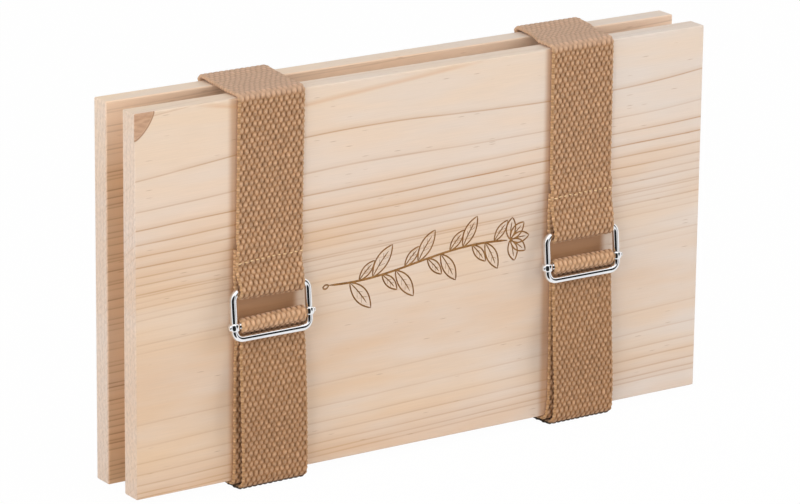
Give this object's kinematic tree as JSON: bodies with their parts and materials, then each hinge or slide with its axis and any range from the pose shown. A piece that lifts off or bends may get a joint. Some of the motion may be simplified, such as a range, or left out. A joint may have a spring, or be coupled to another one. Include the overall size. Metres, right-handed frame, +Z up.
{
  "type": "flower press",
  "caption": "Flower press of two pale softwood boards round corrugated cards and blotting sheets, held shut by webbing straps with sliding-bar wire buckles.",
  "frame": {"origin": "middle of the bottom of the whole press, on the surface that it stands on", "axes": "+X to the right along the boards, +Y to the rear board, +Z up"},
  "size_m": [0.275, 0.0452, 0.1634],
  "materials": {
    "wood": "sanded bare pine, matt",
    "webbing": "tan cotton webbing, coarse basket weave",
    "chromed_steel": "bright chrome plate on steel wire",
    "card": "brown corrugated card, matt",
    "blotting_paper": "off-white blotting paper, matt"
  },
  "bodies": {
    "rear": {"rear_board": "wood", "cardboard_1": "card", "blotter_1": "blotting_paper", "left_strap_rear": "webbing", "left_strap_top_span": "webbing", "left_strap_bottom_span": "webbing", "left_tail_run": "webbing", "right_strap_rear": "webbing", "right_strap_top_span": "webbing", "right_strap_bottom_span": "webbing", "right_tail_run": "webbing"},
    "sheets_1": {"blotter_2": "blotting_paper", "cardboard_2": "card", "blotter_3": "blotting_paper"},
    "sheets_2": {"blotter_4": "blotting_paper", "cardboard_3": "card", "blotter_5": "blotting_paper"},
    "front": {"blotter_6": "blotting_paper", "cardboard_4": "card", "front_board": "wood", "left_strap_front_top": "webbing", "left_strap_front_run": "webbing", "left_strap_front_foot": "webbing", "right_strap_front_top": "webbing", "right_strap_front_run": "webbing", "right_strap_front_foot": "webbing"},
    "left_tail_end": {"left_tail_end": "webbing"},
    "left_buckle": {"left_buckle_frame": "chromed_steel"},
    "left_bar": {"left_buckle_bar": "chromed_steel", "left_strap_bar_loop": "webbing"},
    "right_tail_end": {"right_tail_end": "webbing"},
    "right_buckle": {"right_buckle_frame": "chromed_steel"},
    "right_bar": {"right_buckle_bar": "chromed_steel", "right_strap_bar_loop": "webbing"}
  },
  "joints": [
    {"name": "press_opening", "type": "slide", "parent": "rear", "child": "front", "axis": [0, -1, 0], "range_m": [0, 0.015], "deforming": ["left_strap_top_span", "left_strap_bottom_span", "right_strap_top_span", "right_strap_bottom_span"]},
    {"name": "sheets_1_slide", "type": "slide", "parent": "rear", "child": "sheets_1", "axis": [0, -1, 0], "range_m": [0, 0.005]},
    {"name": "sheets_2_slide", "type": "slide", "parent": "rear", "child": "sheets_2", "axis": [0, -1, 0], "range_m": [0, 0.01]},
    {"name": "left_tail_slide", "type": "slide", "parent": "rear", "child": "left_tail_end", "axis": [0, 0, -1], "range_m": [0, 0.045], "deforming": ["left_tail_run"]},
    {"name": "left_buckle_tilt", "type": "hinge", "parent": "front", "child": "left_buckle", "pos_m": [-0.078, -0.01807, 0.0837], "axis": [-1, 0, 0], "range_deg": [0, 40], "deforming": ["left_strap_front_run"]},
    {"name": "left_bar_slide", "type": "slide", "parent": "left_buckle", "child": "left_bar", "axis": [0, 0.102, 0.9948], "range_m": [-0.0006, 0.0055], "deforming": ["left_strap_bar_loop"]},
    {"name": "right_tail_slide", "type": "slide", "parent": "rear", "child": "right_tail_end", "axis": [0, 0, -1], "range_m": [0, 0.045], "deforming": ["right_tail_run"]},
    {"name": "right_buckle_tilt", "type": "hinge", "parent": "front", "child": "right_buckle", "pos_m": [0.0735, -0.01807, 0.0834], "axis": [-1, 0, 0], "range_deg": [0, 40], "deforming": ["right_strap_front_run"]},
    {"name": "right_bar_slide", "type": "slide", "parent": "right_buckle", "child": "right_bar", "axis": [0, 0.102, 0.9948], "range_m": [-0.0006, 0.0055], "deforming": ["right_strap_bar_loop"]}
  ],
  "couplings": [
    {"joint": "sheets_1_slide", "follows": "press_opening", "ratio": 0.33333},
    {"joint": "sheets_2_slide", "follows": "press_opening", "ratio": 0.66667},
    {"joint": "left_tail_slide", "follows": "press_opening", "ratio": 3},
    {"joint": "right_tail_slide", "follows": "press_opening", "ratio": 3}
  ]
}
